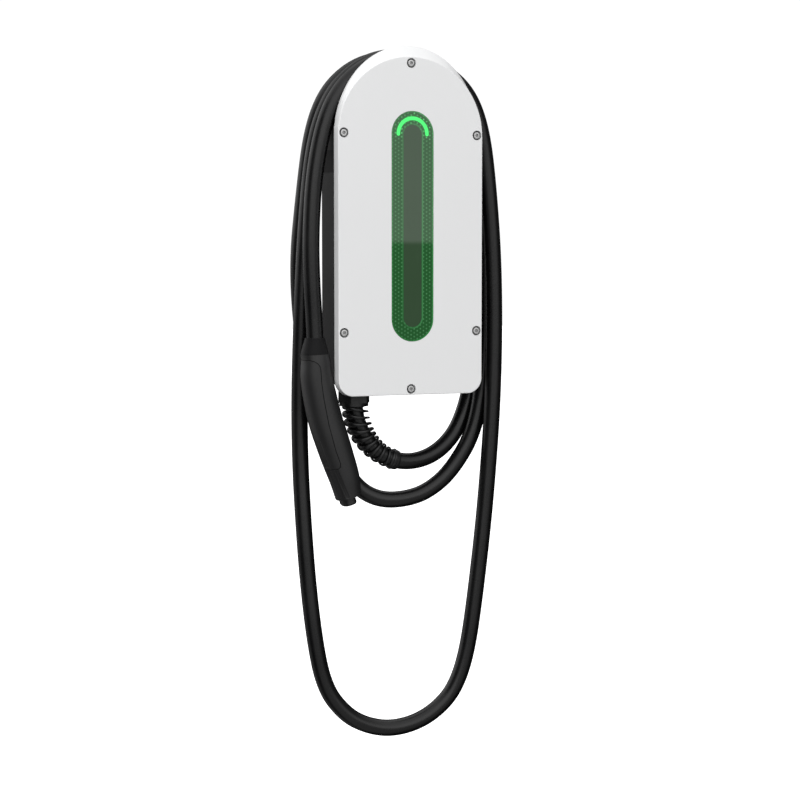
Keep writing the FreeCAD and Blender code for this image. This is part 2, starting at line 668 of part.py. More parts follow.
def bar_draw(s):
    rect(s, 40.0, -236.0, 56.0, -229.0)
    for i in range(2):
        hole_circle(s, 44.0 + 8.0 * i, -232.5, 1.9)


node("earth_bar", front_plate("earth_bar", -P["floor_front"], 6.0, bar_draw))
tg = fuse([box((-59.0, -46.0, -193.0), 118.0, 1.8, 32.0),
           box((-59.0, -44.5, -193.0), 2.0, 44.5 - P["floor_front"] - 0.0, 3.0),
           box((57.0, -44.5, -193.0), 2.0, 44.5 - P["floor_front"] - 0.0, 3.0),
           box((-59.5, -44.5, -164.0), 2.5, 44.5 - P["floor_front"], 3.0),
           box((57.0, -44.5, -164.0), 2.5, 44.5 - P["floor_front"], 3.0)])
tg = cut(tg, [box((-30.0, -47.0, -181.0), 24.0, 4.0, 8.0), box((6.0, -47.0, -181.0), 24.0, 4.0, 8.0)])
node("touch_guard", tg)

# conductors from the cable's end to the output terminals
wires = []
for i in range(5):
    f = 2 * math.pi * i / 5 + 0.6
    xa, ya = gx + 4.6 * math.cos(f), gy + 4.6 * math.sin(f)
    xt = -58.0 + 1 + 10.4 * (i + 0.5)
    za = -225.0 + (2.5 * i if i > 1 else 0.0)
    pts = [(xa, ya, -254.0), (xa, ya, -242.0), (0.6 * xa + 0.4 * xt, 0.55 * ya - 0.45 * 22.0, -226.0 + 0.8 * i),
           (xt, -P["floor_front"] - 13.0, -203.0), (xt, -P["floor_front"] - 13.0, -177.0)]
    ed, _r = tangent_path(pts)
    wires.append(feature(pipe(ed, 2.1), "conductor"))
node("inner_conductors", group(wires))

# ribbon lead from the main board to the indicator board
rib = [(-28.0, yt, 24.5), (-28.0, -34.0, 24.5), (-28.0, -60.0, 33.5), (-28.0, y_led + P["board_thick"] + 4, 28.0), (-28.0, y_led + P["board_thick"], 19.0)]
up = [V(-28.0, a[1], a[2]) for a in rib]
off = [V(-28.0, up[0].y, up[0].z - 1.2), V(-28.0, up[1].y - 0.3, up[1].z - 1.2), V(-28.0, up[2].y + 0.1, up[2].z - 1.3),
       V(-28.0, up[3].y + 1.2, up[3].z - 0.6), V(-28.0, up[4].y + 1.2 - 1.2, up[4].z - 1.6)]
loop = up + off[::-1]
w = Part.makePolygon(loop + [loop[0]])
node("ribbon_lead", feature(Part.Face(w).extrude(V(16.0, 0, 0))))

# ================================================================= the gland
zb = -P["housing_bottom"]
node("gland_body", turned_body("gland_body",
     [(9.2, 9.0), (P["gland_neck"], 9.0), (P["gland_neck"], 0.0), (15.8, 0.0), (15.8, -5.0),
      (P["gland_thread"], -5.0), (P["gland_thread"], -13.0), (11.1, -13.0), (11.1, -6.0), (9.2, -6.0)],
     (gx, gy, zb), (0, 0, 1)))
node("gland_locknut", cut(prism6((gx, gy, zb + hw), (0, 0, 1), 15.0, 5.0), [cyl((gx, gy, zb), (0, 0, 1), "dims.gland_neck", 12)]))
node("gland_seal", turned_body("gland_seal", [(8.5, -6.0), (11.1, -6.0), (11.1, -10.8), (8.5, -10.8)], (gx, gy, zb), (0, 0, 1)))
nut = fuse([prism6((gx, gy, zb - 17.0), (0, 0, 1), "dims.nut_corner", 11.8),
            cyl((gx, gy, zb - 20.4), (0, 0, 1), "dims.collar_radius", 5.0)])
nut_round = cyl((gx, gy, zb - 21), (0, 0, 1), 16.85, 22.0)
nut = cut(common(nut, nut_round), [cyl((gx, gy, zb - 13.4), (0, 0, 1), "dims.gland_thread", 14.0),
                                   cyl((gx, gy, zb - 16.0), (0, 0, 1), 9.0, 4.0),
                                   cone((gx, gy, zb - 20.6), (0, 0, 1), 10.8, 9.0, 5.6)])
node("gland_dome_nut", nut)

# ================================================================= the cable
edges, radii = tangent_path(ROUTE)
cable = pipe(edges, P["cable_radius"])
node("charging_cable", feature(cable, "cable"))
run_total = sum(e.Length for e in edges)
want = math.pi * P["cable_radius"] ** 2 * run_total
print("cable length %.1f mm, volume %.0f, section times length %.0f, ratio %.5f" % (run_total, cable.Volume, want, cable.Volume / want))
print("cable radii", " ".join("%.0f" % r for r in radii))
print("smallest radius %.1f" % min(radii))

# bend protector: a sleeve of rings on the first part of the cable
first = edges[2:8]
sleeve_o = pipe(first, 10.2)
sleeve_i = pipe(edges[2:9], 9.0)
total = sum(e.Length for e in first)


def along(d):
    for e in first:
        if d <= e.Length + 1e-6:
            k = e.FirstParameter + (e.LastParameter - e.FirstParameter) * min(d / e.Length, 1.0)
            return e.valueAt(k), e.tangentAt(k)
        d -= e.Length
    e = first[-1]
    return e.valueAt(e.LastParameter), e.tangentAt(e.LastParameter)


guard = sleeve_o
steps = 10
for i in range(steps):
    d = 2.0 + (total - 6.0) * i / (steps - 1)
    pnt, tan = along(d)
    r = P["guard_radius"] + (P["guard_end"] - P["guard_radius"]) * (i / (steps - 1.0)) ** 1.6
    disc = Part.makeCylinder(r, 2.6, pnt - tan * 1.3, tan)
    guard = guard.fuse(disc)
pnt, tan = along(total - 0.5)
guard = guard.fuse(Part.makeCylinder(P["guard_end"], 7.5, pnt, tan))
start, stan = along(0.0)
guard = guard.fuse(Part.makeCylinder(12.4, 1.2, start, stan))
guard = guard.fuse(Part.makeCylinder(11.4, 5.6, V(gx, gy, zb - 24.8), V(0, 0, 1)))
long_in = pipe(edges[1:10], 9.0)
guard = guard.cut(long_in).cut(Part.makeCylinder(9.3, 9.0, pnt - tan * 0.5, tan))
guard = guard.cut(Part.makeBox(60, 60, 30, V(gx - 30, gy - 30, zb - 20.4)))
node("bend_protector", feature(guard.removeSplitter(), "guard"))

# ============================================================= the connector
cy = -P["connector_y"]
# axis stations: x, z, slant, half width, half depth
ST = [(-95.4, -217.8, 2.5, 13.9, 14.0), (-94.2, -233.4, 5.0, 15.0, 15.2), (-91.9, -250.5, 8.5, 16.0, 16.2),
      (-88.1, -268.6, 12.5, 16.6, 17.0), (-83.4, -286.8, 16.0, 16.9, 17.6), (-78.0, -303.0, 18.5, 16.8, 18.0),
      (-72.6, -318.8, 19.5, 16.3, 18.0), (-67.7, -332.7, 20.0, 15.6, 17.8), (-63.4, -346.0, 19.0, 14.5, 17.2),
      (-59.9, -361.6, 17.5, 12.7, 15.6)]


def stack(shrink, ends=0.0):
    ws = []
    for i, (x, z, g, a, b) in enumerate(ST):
        t = math.radians(g)
        dx, dz = 0.0, 0.0
        if ends and i in (0, len(ST) - 1):
            s = -ends if i == 0 else ends
            dx, dz = s * math.sin(t), -s * math.cos(t)
        ws.append(oval(x + dx, cy, z + dz, g, a - shrink, b - shrink))
    return skin(ws)


hull = stack(0.0)
core = stack(P["shell_wall"], 0.6)
under = stack(P["grip_depth"], 0.9)
hollow = hull.cut(core)
grip_poly = [(-125.0, -222.6), (-103.7, -223.5), (-97.6, -226.2), (-94.3, -231.4), (-91.6, -262.0), (-86.6, -288.0),
             (-79.4, -314.0), (-74.2, -328.0), (-76.6, -332.0), (-125.0, -343.0)]
gp = Part.makePolygon([V(x, -120, z) for x, z in grip_poly + [grip_poly[0]]])
grip_prism = Part.Face(gp).extrude(V(0, 110, 0))
grip = hull.cut(under).common(grip_prism)
shells = hollow.cut(grip)
half = Part.makeBox(200, 80, 260, V(-160, cy - 80, -400))
PILLAR = [(-87.6, -241.0), (-75.2, -276.0), (-64.0, -313.0)]
front, rear, screw = shells.common(half), shells.cut(half), []
for x, z in PILLAR:
    bar = Part.makeCylinder(3.3, 60, V(x, cy - 30, z), V(0, 1, 0)).common(stack(0.6, 0.0))
    front = front.fuse(bar.common(half))
    rear = rear.fuse(bar.cut(half))
    front = front.cut(Part.makeCylinder(1.3, 11.0, V(x, cy - 8.0, z), V(0, 1, 0)))
    rear = rear.cut(Part.makeCylinder(1.3, 30.0, V(x, cy - 1.0, z), V(0, 1, 0)))
    rear = rear.cut(Part.makeCylinder(2.7, 30.0, V(x, cy + 9.0, z), V(0, 1, 0)))
    bolt = Part.makeCylinder(1.3, 17.4, V(x, cy - 8.0, z), V(0, 1, 0)).fuse(
        Part.makeCylinder(2.6, 2.2, V(x, cy + 9.0, z), V(0, 1, 0)))
    screw.append(feature(bolt.removeSplitter(), "bolt"))
node("connector_shell_front", feature(front.removeSplitter(), "shell"))
node("connector_shell_rear", feature(rear.removeSplitter(), "shell"))
node("connector_grip", feature(grip, "grip"))
node("connector_screws", group(screw))

# boot between the cable and the shells
boot_w = [oval(-95.2, cy, -201.3, 1.5, 9.9, 9.9, 2.0), oval(-95.3, cy, -205.5, 1.5, 10.9, 10.9, 2.05),
          oval(-95.4, cy, -211.0, 2.0, 12.4, 12.4, 2.15), oval(ST[0][0], cy, ST[0][1], ST[0][2], 13.7, 13.8)]
boot = skin(boot_w)
e_last = edges[-1]
tdir = e_last.tangentAt(e_last.LastParameter)
boot = boot.cut(Part.makeCylinder(8.5, 8.0, V(*ROUTE[-1]) - tdir * 8.0, tdir))
boot = boot.cut(Part.makeCylinder(7.4, 30.0, V(*ROUTE[-1]) - tdir * 1.0, tdir))
node("connector_boot", feature(boot, "boot"))


def along_nose(d, a, b, p=2.35):
    x, z, g = ST[-1][0], ST[-1][1], ST[-1][2]
    t = math.radians(g)
    return oval(x + d * math.sin(t), cy, z - d * math.cos(t), g, a, b, p)


def along_tip(d, a, b):
    x, z, g = ST[-1][0] - 1.9, ST[-1][1] - 0.6, ST[-1][2]
    t = math.radians(g)
    return oval(x + d * math.sin(t), cy, z - d * math.cos(t), g, a, b, 2.6)


nose = skin([along_nose(-13.0, 9.7, 12.5), along_nose(-1.2, 9.7, 12.5)])
tip = skin([along_tip(-4.0, 7.4, 11.6), along_tip(6.2, 7.4, 11.6), ])
tip2 = skin([along_tip(6.2, 7.4, 11.6), along_tip(7.6, 6.7, 10.9)])
nose = nose.fuse(tip).fuse(tip2)
t = math.radians(ST[-1][2])
e1 = V(math.cos(t), 0, math.sin(t))
ax = V(math.sin(t), 0, -math.cos(t))
c0 = V(ST[-1][0] - 1.9, cy, ST[-1][1] - 0.6)
PINS = [(-3.6, -5.6), (-3.6, 0.0), (-3.6, 5.6), (0.6, -8.0), (0.6, 8.0), (3.6, -3.4), (3.6, 3.4)]
pins = []
for u, v in PINS:
    base = c0 + e1 * u + V(0, v, 0)
    nose = nose.cut(Part.makeCylinder(P["contact_radius"] + 0.5, 40.0, base - ax * 14.0, ax))
    pin = Part.makeCylinder(P["contact_radius"], 24.6, base - ax * 19.6, ax)
    pin = pin.cut(Part.makeCylinder(0.8, 6.0, base + ax * 0.0, ax))
    pins.append(feature(pin, "contact"))
seal = stack(P["shell_wall"], 0.6)
x9, z9, g9 = ST[-1][0], ST[-1][1], ST[-1][2]
t9 = math.radians(g9)
slab = skin([along_nose(-8.0, 40, 40), along_nose(-5.0, 40, 40)])
ring = seal.common(slab).cut(skin([along_nose(-13.0, 9.7, 12.5), along_nose(-1.2, 9.7, 12.5)]))
node("connector_seal", feature(ring, "ring"))
node("connector_nose", feature(nose.removeSplitter(), "nose"))
carrier = skin([along_nose(-19.0, 9.6, 12.4), along_nose(-13.0, 9.6, 12.4)])
for f in pins:
    carrier = carrier.cut(f.Shape)
node("contact_carrier", feature(carrier, "carrier"))
node("connector_contacts", group(pins))

# leads from the cable's end to the contacts
leads = []
end = V(*ROUTE[-1])
side = tdir.cross(V(0, 1, 0))
side.normalize()
deep = tdir.cross(side)
deep.normalize()
if deep.y < 0:
    deep = deep * -1.0
for i, v in enumerate((-3.8, 0.0, 3.8)):
    first_p = end + deep * v
    second = first_p + tdir * 6.0
    pts = [first_p, second, V(-94.6, cy + v, -228.0), V(-92.4, cy + v, -252.0), V(-84.0, cy + v, -290.0)]
    tail = c0 + e1 * PINS[i][0] + V(0, PINS[i][1], 0) - ax * 19.6
    pts += [tail - ax * 14.0, tail]
    ed, _r = tangent_path([(p.x, p.y, p.z) for p in pts])
    leads.append(feature(pipe(ed, 1.25), "lead"))
node("connector_leads", group(leads))

# ================================================================ write out
doc.recompute()
bad = []
for o in doc.Objects:
    if "Invalid" in o.State or "Error" in o.State:
        bad.append((o.Name, o.State))
if bad:
    raise RuntimeError("failed objects: %s" % bad)
for name, obj in NODES.items():
    s = obj.Shape
    if s.isNull() or not s.isValid():
        raise RuntimeError("bad shape: " + name)
    if not s.Solids:
        raise RuntimeError("no solid: " + name)
for name, obj in NODES.items():
    s = obj.Shape
    if hasattr(obj, "Placement") and obj.TypeId == "PartDesign::Body":
        s = obj.Shape
    s.exportStep("parts/%s.step" % name)
    b = s.BoundBox
    print("%-26s solids %2d volume %10.0f  x %.1f..%.1f y %.1f..%.1f z %.1f..%.1f" % (
        name, len(s.Solids), s.Volume, b.XMin, b.XMax, b.YMin, b.YMax, b.ZMin, b.ZMax))
print("nodes", len(NODES))
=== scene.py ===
import math

import bmesh
import bpy
from mathutils import Matrix, Vector


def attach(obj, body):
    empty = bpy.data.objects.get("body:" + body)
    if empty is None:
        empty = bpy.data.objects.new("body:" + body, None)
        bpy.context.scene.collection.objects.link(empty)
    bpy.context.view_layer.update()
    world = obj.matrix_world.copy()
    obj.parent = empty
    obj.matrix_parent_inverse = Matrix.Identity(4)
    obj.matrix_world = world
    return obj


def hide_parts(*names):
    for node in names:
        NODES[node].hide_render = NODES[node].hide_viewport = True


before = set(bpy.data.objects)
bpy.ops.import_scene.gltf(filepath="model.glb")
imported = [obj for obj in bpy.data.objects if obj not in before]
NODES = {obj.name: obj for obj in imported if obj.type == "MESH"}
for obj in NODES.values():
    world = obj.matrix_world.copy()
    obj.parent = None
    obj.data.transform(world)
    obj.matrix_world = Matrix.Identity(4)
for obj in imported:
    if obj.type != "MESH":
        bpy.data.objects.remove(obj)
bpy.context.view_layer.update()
scene = bpy.context.scene
collection = scene.collection

# ------------------------------------------------------------------ camera
YAW, PITCH = math.radians(21.889), math.radians(4.446)
cam_data = bpy.data.cameras.new("camera")
cam_data.sensor_fit = "HORIZONTAL"
cam_data.sensor_width = 36.0
cam_data.lens = 1959.704 * 36.0 / 800.0
cam_data.clip_start = 0.05
cam_data.clip_end = 60.0
camera = bpy.data.objects.new("camera", cam_data)
collection.objects.link(camera)
camera.location = (-0.743286, -1.907524, -0.111794)
camera.rotation_euler = (math.pi / 2 - PITCH, 0.0, -YAW)
scene.camera = camera
scene.view_settings.view_transform = "Standard"
scene.view_settings.look = "None"
scene.view_settings.exposure = 0.0
scene.view_settings.gamma = 1.0

# -------------------------------------------------------------- the cable
ROUTE = [
    (-44.8, -43, -254), (-44.8, -43, -270), (-41.8, -43, -288.8), (-32.3, -43.1, -308),
    (-14.8, -43.2, -324.3), (8.8, -43.1, -332.6), (33.4, -41.3, -330.3),
    (55.4, -38.5, -319.6), (74.6, -35.2, -299.4), (89.3, -32.2, -262.1),
    (98.6, -31, -202), (97.4, -31.4, -111.4), (90.7, -31.4, -32), (82.8, -31.4, 19.5),
    (62.4, -31.4, 51.9), (38.3, -31.4, 71.1), (9.6, -31.4, 79.7), (-21.3, -31.4, 77.7),
    (-47.6, -31.4, 65.3), (-70.5, -31.4, 42.2), (-85, -31.2, 5.8), (-92.9, -30.8, -50.5),
    (-101.6, -29.6, -137.1), (-89.2, -23.4, -234.8), (-67.2, -20.7, -296.5),
    (-50.2, -25.1, -337.6), (-34, -30.5, -360.7), (-13.4, -35.6, -371.3),
    (11, -40.1, -371.5), (35.7, -43.6, -364.4), (61.5, -46.9, -343.9),
    (88.1, -49.4, -300.9), (99.6, -49, -228.5), (99.1, -49, -122.3), (94.3, -49, -35.4),
    (80.9, -49, 21), (60.9, -49, 53.4), (36.4, -49, 71.6), (5.4, -49, 80.5),
    (-21.7, -49, 78.2), (-47.3, -49, 65.5), (-71.3, -49, 40.4), (-88.5, -49, -3.7),
    (-97.1, -49.6, -74.5), (-102.2, -46.2, -180.4), (-103.3, -39.8, -298.8),
    (-99.8, -47.7, -417.3), (-92.4, -52.1, -503.1), (-81.6, -53.4, -558.6),
    (-59.8, -55.5, -587.6), (-37, -57, -600.9), (-10.7, -58.5, -606.6),
    (17.4, -60, -601.9), (40.5, -61.4, -589.3), (59.2, -62.9, -569.3),
    (71.9, -64.9, -532.9), (80.9, -66.2, -471), (92.2, -66.5, -375), (101, -66.5, -256.4),
    (101.2, -66.5, -138.8), (94.2, -66.5, -48.6), (86.1, -66.5, 9.6), (70.6, -66.5, 45.6),
    (43.4, -66.5, 66.7), (21.8, -66.5, 77.8), (-8.8, -66.5, 79.4), (-40.9, -66.5, 68.8),
    (-65.2, -66.5, 49.3), (-83.5, -66.5, 16.9), (-95.4, -66.5, -38.2),
    (-99, -66.5, -98.7), (-98.3, -66.5, -141), (-96, -66.5, -179), (-94.9, -66.8, -204.5)]
CABLE_R = 0.0085


def route_curve(name, bevel):
    cu = bpy.data.curves.new(name, "CURVE")
    cu.dimensions = "3D"
    sp = cu.splines.new("NURBS")
    sp.points.add(len(ROUTE) - 1)
    for p, co in zip(sp.points, ROUTE):
        p.co = (co[0] / 1000.0, co[1] / 1000.0, co[2] / 1000.0, 1.0)
    sp.order_u = 3
    sp.use_endpoint_u = True
    sp.resolution_u = 14
    cu.resolution_u = 14
    cu.bevel_depth = bevel
    cu.bevel_resolution = 7
    cu.use_fill_caps = bevel > 0
    ob = bpy.data.objects.new(name, cu)
    collection.objects.link(ob)
    return ob


cable = route_curve("cable_jacket", CABLE_R)
bare = route_curve("cable_line", 0.0)
bpy.context.view_layer.update()
line_mesh = bpy.data.meshes.new_from_object(bare)
LINE = [v.co.copy() for v in line_mesh.vertices]
bpy.data.objects.remove(bare)
bpy.data.meshes.remove(line_mesh)
if (LINE[0] - Vector((-0.044, -0.043, -0.254))).length > 0.002:
    LINE.reverse()
ARC = [0.0]
for a, b in zip(LINE, LINE[1:]):
    ARC.append(ARC[-1] + (b - a).length)


def on_line(s):
    """Point and direction on the cable's own line at the length s from the gland."""
    s = min(max(s, 0.0), ARC[-1])
    lo, hi = 0, len(ARC) - 1
    while hi - lo > 1:
        mid = (lo + hi) // 2
        if ARC[mid] <= s:
            lo = mid
        else:
            hi = mid
    t = (s - ARC[lo]) / max(ARC[hi] - ARC[lo], 1e-9)
    p = LINE[lo].lerp(LINE[hi], t)
    a = LINE[min(lo + 1, len(LINE) - 1)] - LINE[max(lo - 1, 0)]
    b = LINE[min(hi + 1, len(LINE) - 1)] - LINE[max(hi - 1, 0)]
    d = a.normalized().lerp(b.normalized(), t).normalized()
    return p, d


# -------------------------------------------------------------- materials
class Mat:
    """Small helper around one node tree with a principled shader."""

    def __init__(self, name, color, rough, spec=0.5, metal=0.0):
        self.m = bpy.data.materials.new(name)
        self.m.use_nodes = True
        self.t = self.m.node_tree
        self.t.nodes.clear()
        self.out = self.add("ShaderNodeOutputMaterial")
        self.b = self.add("ShaderNodeBsdfPrincipled")
        self.link(self.b.outputs["BSDF"], self.out.inputs["Surface"])
        self.b.inputs["Base Color"].default_value = (*color, 1.0)
        self.b.inputs["Roughness"].default_value = rough
        self.b.inputs["Specular IOR Level"].default_value = spec
        self.b.inputs["Metallic"].default_value = metal
        self.color = color
        self.rough = rough
        self.coord = self.add("ShaderNodeTexCoord")

    def add(self, kind, **kw):
        n = self.t.nodes.new(kind)
        for k, v in kw.items():
            setattr(n, k, v)
        return n

    def link(self, a, b):
        self.t.links.new(a, b)

    def mapped(self, scale=(1, 1, 1), rot=(0, 0, 0), offset=(0, 0, 0)):
        n = self.add("ShaderNodeMapping")
        n.inputs["Scale"].default_value = scale
        n.inputs["Rotation"].default_value = rot
        n.inputs["Location"].default_value = offset
        self.link(self.coord.outputs["Object"], n.inputs["Vector"])
        return n.outputs["Vector"]

    def noise(self, scale, detail=4.0, rough=0.55, vec=None, distortion=0.0):
        n = self.add("ShaderNodeTexNoise")
        n.inputs["Scale"].default_value = scale
        n.inputs["Detail"].default_value = detail
        n.inputs["Roughness"].default_value = rough
        n.inputs["Distortion"].default_value = distortion
        self.link(vec if vec is not None else self.coord.outputs["Object"], n.inputs["Vector"])
        return n.outputs["Fac"]

    def voronoi(self, scale, vec=None, feature="F1"):
        n = self.add("ShaderNodeTexVoronoi", feature=feature)
        n.inputs["Scale"].default_value = scale
        self.link(vec if vec is not None else self.coord.outputs["Object"], n.inputs["Vector"])
        return n

    def math(self, op, a, b=None, c=None, clamp=False):
        n = self.add("ShaderNodeMath", operation=op, use_clamp=clamp)
        for i, v in enumerate((a, b, c)):
            if v is None:
                continue
            if isinstance(v, (int, float)):
                n.inputs[i].default_value = v
            else:
                self.link(v, n.inputs[i])
        return n.outputs[0]

    def rng(self, v, a, b, c, d, smooth=False):
        n = self.add("ShaderNodeMapRange")
        if smooth:
            n.interpolation_type = "SMOOTHSTEP"
        n.inputs["From Min"].default_value = a
        n.inputs["From Max"].default_value = b
        n.inputs["To Min"].default_value = c
        n.inputs["To Max"].default_value = d
        self.link(v, n.inputs["Value"])
        return n.outputs["Result"]

    def mix(self, fac, a, b):
        n = self.add("ShaderNodeMix", data_type="RGBA")
        if isinstance(fac, (int, float)):
            n.inputs[0].default_value = fac
        else:
            self.link(fac, n.inputs[0])
        for sock, v in ((n.inputs[6], a), (n.inputs[7], b)):
            if isinstance(v, tuple):
                sock.default_value = (*v, 1.0) if len(v) == 3 else v
            else:
                self.link(v, sock)
        return n.outputs[2]

    def bump(self, height, strength, distance=0.0002, normal=None):
        n = self.add("ShaderNodeBump")
        n.inputs["Strength"].default_value = strength
        n.inputs["Distance"].default_value = distance
        self.link(height, n.inputs["Height"])
        if normal is not None:
            self.link(normal, n.inputs["Normal"])
        return n.outputs["Normal"]

    def base(self, v):
        self.link(v, self.b.inputs["Base Color"])

    def roughness(self, v):
        self.link(v, self.b.inputs["Roughness"])

    def normal(self, v):
        self.link(v, self.b.inputs["Normal"])


def shade(c, k):
    return tuple(min(max(x * k, 0.0), 1.0) for x in c)


def plastic(name, color, rough, grain=1400.0, depth=0.25, vary=0.12, spec=0.5, blotch=18.0):
    """Moulded plastic: spark-eroded grain, faint flow patches, uneven gloss."""
    m = Mat(name, color, rough, spec)
    big = m.noise(blotch, 3.0)
    m.base(m.mix(m.rng(big, 0.3, 0.7, 0, 1), shade(color, 1 - vary), shade(color, 1 + vary)))
    fine = m.noise(grain, 2.0, 0.6)
    cells = m.voronoi(grain * 0.55)
    h = m.math("ADD", m.math("MULTIPLY", fine, 0.6), m.math("MULTIPLY", cells.outputs["Distance"], 0.5))
    m.normal(m.bump(h, depth, 0.00012))
    m.roughness(m.rng(m.math("ADD", m.math("MULTIPLY", big, 0.5), m.math("MULTIPLY", fine, 0.5)),
                      0.3, 0.7, rough - 0.05, rough + 0.05))
    return m


def rubber(name, color, rough, grain=2200.0, depth=0.2, spec=0.5):
    m = plastic(name, color, rough, grain, depth, 0.1, spec, 30.0)
    m.b.inputs["Sheen Weight"].default_value = 0.03
    m.b.inputs["Sheen Roughness"].default_value = 0.5
    return m


def metal(name, color, rough, lines=(900, 60, 900), depth=0.12):
    m = Mat(name, color, rough, 0.5, 1.0)
    v = m.mapped(lines)
    streak = m.noise(1.0, 4.0, 0.6, v)
    blot = m.noise(90.0, 3.0)
    m.base(m.mix(m.rng(streak, 0.3, 0.7, 0, 1), shade(color, 0.88), shade(color, 1.06)))
    m.roughness(m.rng(m.math("ADD", streak, blot), 0.7, 1.3, rough - 0.07, rough + 0.1))
    m.normal(m.bump(streak, depth, 0.00008))
    return m


def galvanised(name):
    c = (0.60, 0.62, 0.64)
    m = Mat(name, c, 0.42, 0.5, 1.0)
    v = m.voronoi(95.0)
    n = m.noise(240.0, 4.0)
    f = m.math("ADD", m.math("MULTIPLY", v.outputs["Color"], 0.5), m.math("MULTIPLY", n, 0.5))
    m.base(m.mix(f, shade(c, 0.8), shade(c, 1.12)))
    m.roughness(m.rng(f, 0.2, 0.8, 0.34, 0.55))
    m.normal(m.bump(n, 0.08, 0.0001))
    return m


def circuit(name):
    c = (0.016, 0.12, 0.045)
    m = Mat(name, c, 0.32, 0.5)
    br = m.add("ShaderNodeTexBrick")
    br.offset = 0.37
    br.inputs["Scale"].default_value = 1.0
    br.inputs["Mortar Size"].default_value = 0.045
    br.inputs["Brick Width"].default_value = 0.9
    br.inputs["Row Height"].default_value = 0.16
    m.link(m.mapped((160, 160, 160), (math.pi / 2, 0, 0)), br.inputs["Vector"])
    dots = m.voronoi(420.0)
    pad = m.rng(dots.outputs["Distance"], 0.12, 0.16, 1, 0)
    m.base(m.mix(pad, m.mix(br.outputs["Fac"], c, shade(c, 1.7)), (0.45, 0.44, 0.40)))
    m.normal(m.bump(br.outputs["Fac"], 0.15, 0.00008))
    return m


def seam_and_crease_shade_lines(m, lines, half, depth, tint=0.25):
    """Dark lines given in the X-Z plane, seen from the front and back: narrow parting lines, and wider soft bands of
    painted shade.
    """
    flat = m.add("ShaderNodeVectorMath", operation="MULTIPLY")
    flat.inputs[1].default_value = (1.0, 0.0, 1.0)
    m.link(m.coord.outputs["Object"], flat.inputs[0])
    best = None
    for line in lines:
        for (x0, z0), (x1, z1) in zip(line, line[1:]):
            d = Vector((x1 - x0, 0.0, z1 - z0)) / 1000.0
            v = m.add("ShaderNodeVectorMath", operation="SUBTRACT")
            v.inputs[1].default_value = (x0 / 1000.0, 0.0, z0 / 1000.0)
            m.link(flat.outputs[0], v.inputs[0])
            dt = m.add("ShaderNodeVectorMath", operation="DOT_PRODUCT")
            dt.inputs[1].default_value = d / d.length_squared
            m.link(v.outputs[0], dt.inputs[0])
            t = m.math("ADD", dt.outputs["Value"], 0.0, clamp=True)
            sc = m.add("ShaderNodeVectorMath", operation="SCALE")
            sc.inputs[0].default_value = d
            m.link(t, sc.inputs["Scale"])
            df = m.add("ShaderNodeVectorMath", operation="DISTANCE")
            m.link(v.outputs[0], df.inputs[0])
            m.link(sc.outputs[0], df.inputs[1])
            best = df.outputs["Value"] if best is None else m.math("MINIMUM", best, df.outputs["Value"])
    # darkened colour along each line: a dark joint on narrow parting lines, painted shade on the wide soft bands
    line = m.rng(best, half * 0.55, half, 1.0, 0.0, True)
    old = m.b.inputs["Base Color"].links[0].from_socket
    m.base(m.mix(m.math("MULTIPLY", line, 0.9), old, shade(m.color, tint)))
    nrm = m.b.inputs["Normal"].links[0].from_socket
    m.normal(m.bump(m.math("SUBTRACT", 1.0, line), 1.0, depth, nrm))
    m.link(m.math("SUBTRACT", 0.5, m.math("MULTIPLY", line, 0.42)), m.b.inputs["Specular IOR Level"])
    return m


GRIP_LINE = [(-112.0, -223.15), (-103.7, -223.5), (-100.2, -224.5), (-97.3, -226.3), (-95.2, -229.0), (-94.3, -232.4), (-93.6, -246.0), (-91.6, -262), (-86.6, -288),
             (-79.4, -314), (-74.6, -326.4), (-74.4, -329.6), (-76.6, -332), (-112, -340.1)]
cover_white = plastic("cover_white", (0.842, 0.846, 0.85), 0.42, 1700.0, 0.10, 0.006, 0.5, 9.0)
housing_black = plastic("housing_black", (0.0085, 0.0085, 0.009), 0.55, 1100.0, 0.5, 0.15, 0.15)
gland_black = plastic("gland_black", (0.009, 0.009, 0.0095), 0.36, 1500.0, 0.25, 0.12)
shell_black = plastic("connector_black", (0.012, 0.012, 0.0125), 0.46, 1500.0, 0.35, 0.10)
grip_black = rubber("grip_black", (0.010, 0.010, 0.0105), 0.5, 1900.0, 0.35)
boot_black = rubber("boot_black", (0.0065, 0.0065, 0.007), 0.5, 1900.0, 0.3, 0.12)
# the two wide soft dark bands below are painted shade, where the connector's side face turns into its main face; the
# GRIP_LINE calls are the grip's parting line
seam_and_crease_shade_lines(shell_black, [[(-78.8, -331.5), (-74.5, -341.5), (-70.2, -351.5), (-66.0, -360.5)]], 0.0019, 0.0003, 0.7)
seam_and_crease_shade_lines(grip_black, [[(-94.2, -304.5), (-91.5, -312.0), (-88.4, -320.5), (-84.6, -329.8)]], 0.0012, 0.0003, 0.35)
seam_and_crease_shade_lines(shell_black, [GRIP_LINE], 0.00042, 0.0004)
seam_and_crease_shade_lines(grip_black, [GRIP_LINE], 0.00042, 0.0004)
guard_black = rubber("guard_black", (0.008, 0.008, 0.0085), 0.33, 1700.0, 0.2)
seal_black = rubber("seal_rubber", (0.03, 0.03, 0.03), 0.75, 900.0, 0.5)
